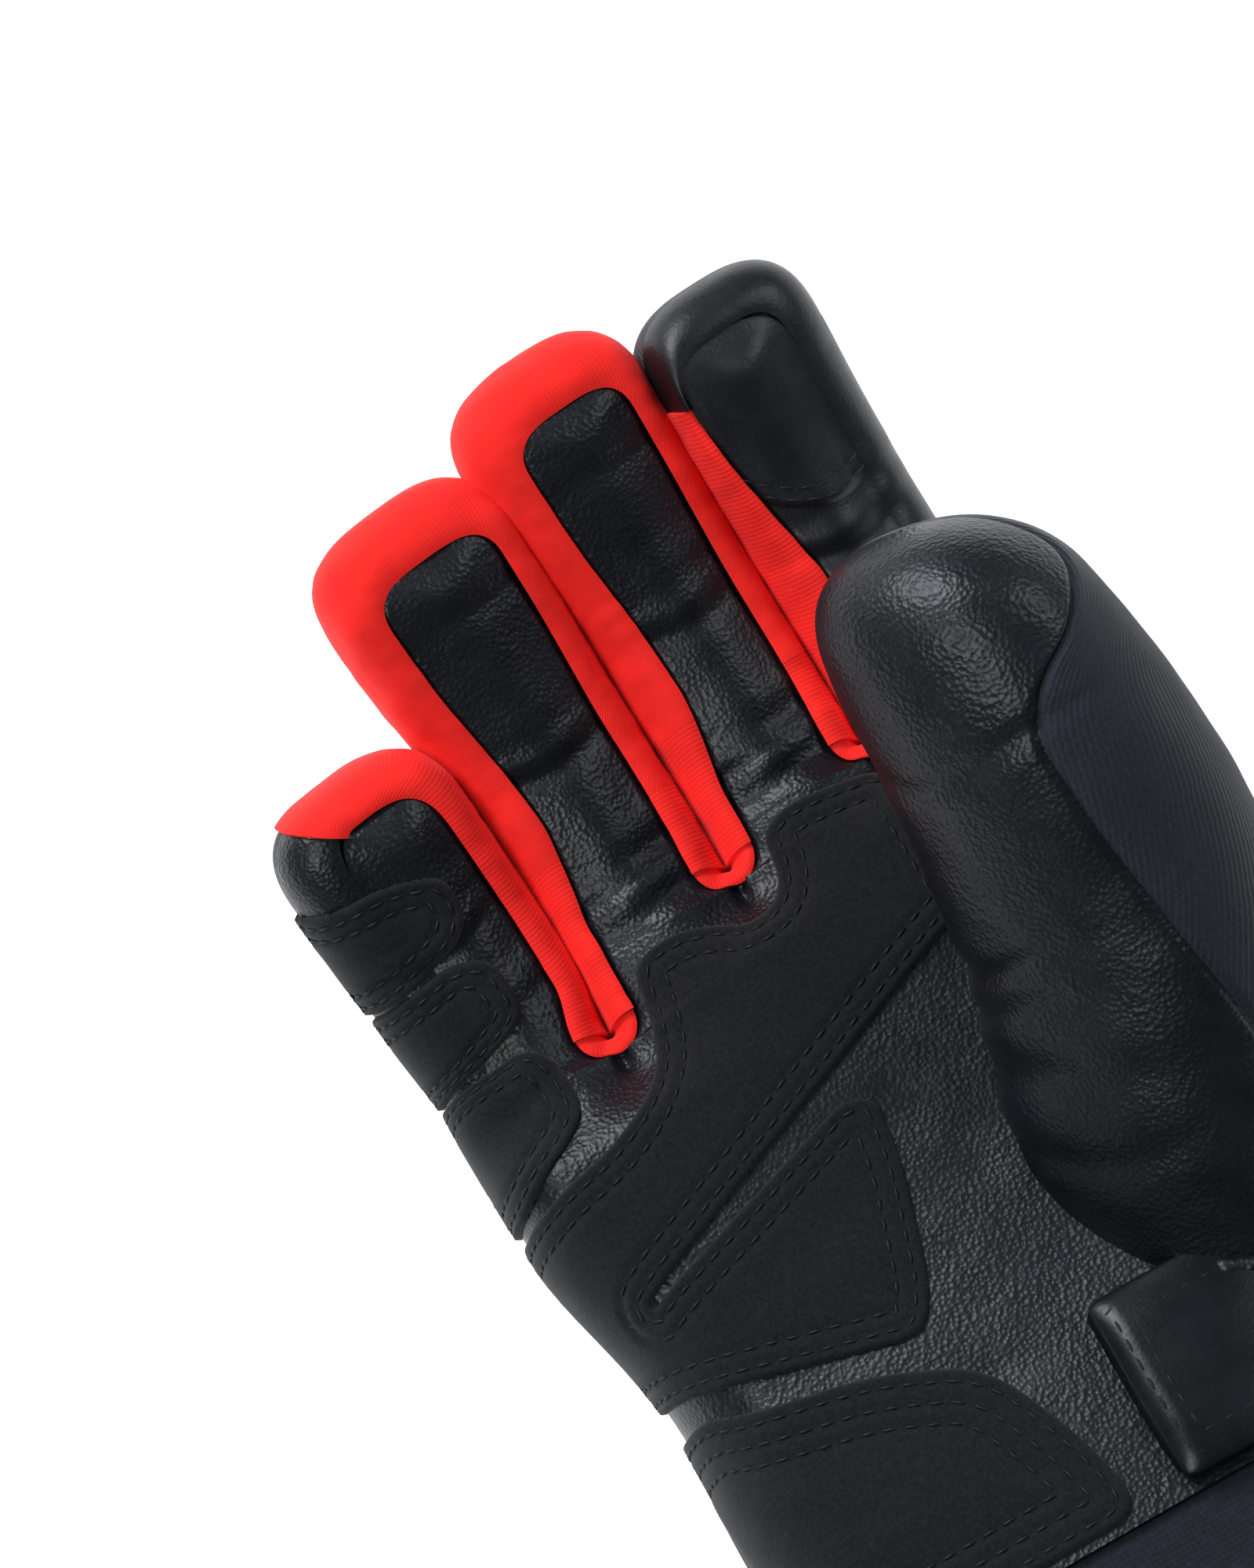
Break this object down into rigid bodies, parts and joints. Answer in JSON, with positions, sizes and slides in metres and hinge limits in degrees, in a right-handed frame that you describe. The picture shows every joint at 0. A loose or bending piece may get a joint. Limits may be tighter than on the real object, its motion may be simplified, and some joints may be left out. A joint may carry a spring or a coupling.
{
  "type": "ski glove",
  "caption": "Insulated right-hand ski glove: separate finger stalls and thumb, leather palm with suede patches, red stretch side walls, wrist strap and gauntlet cuff.",
  "frame": {"origin": "middle of the knuckle pad's flat face, on the surface that the glove lies on", "axes": "+X to the thumb side, +Y to the fingertips, +Z out of the palm"},
  "size_m": [0.1327, 0.2792, 0.1048],
  "materials": {
    "binding": "black woven binding tape",
    "cuff_fabric": "black woven cuff fabric",
    "fleece": "charcoal brushed fleece",
    "goatskin": "pebbled semi-gloss black leather",
    "hook_and_loop": "black hook and loop tape",
    "smooth_leather": "fine-grained black leather",
    "softshell": "dark navy ribbed softshell",
    "strap_leather": "smooth satin black padded leather",
    "stretch_red": "bright red ribbed stretch fabric",
    "suede": "matte black suede, double stitched",
    "wadding": "white polyester wadding"
  },
  "bodies": {
    "hand": {"back_insulation": "wadding", "back_shell": "softshell", "crotch_gussets": "stretch_red", "cuff_hem": "binding", "cuff_lining": "fleece", "gauntlet_back": "softshell", "gauntlet_palm": "cuff_fabric", "hand_lining": "fleece", "heel_patch": "suede", "knuckle_pad": "smooth_leather", "loop_tape": "hook_and_loop", "palm_insulation": "wadding", "palm_leather": "goatskin", "palm_patch": "suede", "pinky_patch_palm": "suede", "thumb_root": "goatskin", "wrist_strap": "strap_leather"},
    "pinky_base": {"pinky_back_base": "smooth_leather", "pinky_fourchette_base": "stretch_red", "pinky_front_base": "goatskin", "pinky_lining_base": "fleece", "pinky_patch_base": "suede"},
    "pinky_tip": {"pinky_back_tip": "smooth_leather", "pinky_fourchette_tip": "stretch_red", "pinky_front_tip": "goatskin", "pinky_lining_tip": "fleece", "pinky_patch_tip": "suede"},
    "ring_base": {"ring_back_base": "smooth_leather", "ring_fourchette_base": "stretch_red", "ring_front_base": "goatskin", "ring_lining_base": "fleece"},
    "ring_tip": {"ring_back_tip": "smooth_leather", "ring_fourchette_tip": "stretch_red", "ring_front_tip": "goatskin", "ring_lining_tip": "fleece"},
    "middle_base": {"middle_back_base": "smooth_leather", "middle_fourchette_base": "stretch_red", "middle_front_base": "goatskin", "middle_lining_base": "fleece"},
    "middle_tip": {"middle_back_tip": "smooth_leather", "middle_fourchette_tip": "stretch_red", "middle_front_tip": "goatskin", "middle_lining_tip": "fleece"},
    "index_base": {"index_back_base": "smooth_leather", "index_fourchette_base": "stretch_red", "index_front_base": "goatskin", "index_lining_base": "fleece"},
    "index_tip": {"index_back_tip": "smooth_leather", "index_fourchette_tip": "stretch_red", "index_front_tip": "goatskin", "index_lining_tip": "fleece", "index_patch": "suede"},
    "thumb_base": {"thumb_back_base": "softshell", "thumb_front_base": "goatskin", "thumb_lining_base": "fleece"},
    "thumb_tip": {"thumb_back_tip": "softshell", "thumb_front_tip": "goatskin", "thumb_lining_tip": "fleece"},
    "strap_tab": {"hook_tape": "hook_and_loop", "strap_tab": "strap_leather"}
  },
  "joints": [
    {"name": "pinky_knuckle", "type": "hinge", "parent": "hand", "child": "pinky_base", "pos_m": [-0.04235, 0.014, 0.0311], "axis": [0.9973, 0.0732, 0], "range_deg": [-12, 40], "stiffness_Nm_per_rad": 0.15},
    {"name": "pinky_mid_joint", "type": "hinge", "parent": "pinky_base", "child": "pinky_tip", "pos_m": [-0.04438, 0.04162, 0.036], "axis": [0.9973, 0.0732, 0], "range_deg": [-12, 40], "stiffness_Nm_per_rad": 0.15},
    {"name": "ring_knuckle", "type": "hinge", "parent": "hand", "child": "ring_base", "pos_m": [-0.0148, 0.022, 0.0311], "axis": [0.9997, 0.0262, 0], "range_deg": [-12, 40], "stiffness_Nm_per_rad": 0.15},
    {"name": "ring_mid_joint", "type": "hinge", "parent": "ring_base", "child": "ring_tip", "pos_m": [-0.01588, 0.06337, 0.03891], "axis": [0.9997, 0.0262, 0], "range_deg": [-12, 40], "stiffness_Nm_per_rad": 0.15},
    {"name": "middle_knuckle", "type": "hinge", "parent": "hand", "child": "middle_base", "pos_m": [0.0135, 0.03, 0.0311], "axis": [0.9998, -0.0209, 0], "range_deg": [-12, 24], "stiffness_Nm_per_rad": 0.15},
    {"name": "middle_mid_joint", "type": "hinge", "parent": "middle_base", "child": "middle_tip", "pos_m": [0.01441, 0.07333, 0.03932], "axis": [0.9998, -0.0209, 0], "range_deg": [-12, 24], "stiffness_Nm_per_rad": 0.15},
    {"name": "index_knuckle", "type": "hinge", "parent": "hand", "child": "index_base", "pos_m": [0.0433, 0.034, 0.0311], "axis": [0.9979, -0.0645, 0], "range_deg": [-12, 24], "stiffness_Nm_per_rad": 0.15},
    {"name": "index_mid_joint", "type": "hinge", "parent": "index_base", "child": "index_tip", "pos_m": [0.04584, 0.07335, 0.03849], "axis": [0.9979, -0.0645, 0], "range_deg": [-12, 24], "stiffness_Nm_per_rad": 0.15},
    {"name": "thumb_knuckle", "type": "hinge", "parent": "hand", "child": "thumb_base", "pos_m": [0.0404, -0.0101, 0.0736], "axis": [0.7071, 0, 0.7071], "range_deg": [-10, 15], "stiffness_Nm_per_rad": 0.15},
    {"name": "thumb_mid_joint", "type": "hinge", "parent": "thumb_base", "child": "thumb_tip", "pos_m": [0.0389, 0.0159, 0.0866], "axis": [0.7071, 0, 0.7071], "range_deg": [-10, 15], "stiffness_Nm_per_rad": 0.15},
    {"name": "strap_peel", "type": "hinge", "parent": "hand", "child": "strap_tab", "pos_m": [0.03, -0.073, 0.0024], "axis": [0, -1, 0], "range_deg": [0, 85]}
  ],
  "couplings": [
    {"joint": "pinky_mid_joint", "follows": "pinky_knuckle", "ratio": 1},
    {"joint": "ring_mid_joint", "follows": "ring_knuckle", "ratio": 1},
    {"joint": "middle_mid_joint", "follows": "middle_knuckle", "ratio": 1},
    {"joint": "index_mid_joint", "follows": "index_knuckle", "ratio": 1},
    {"joint": "thumb_mid_joint", "follows": "thumb_knuckle", "ratio": 1}
  ]
}
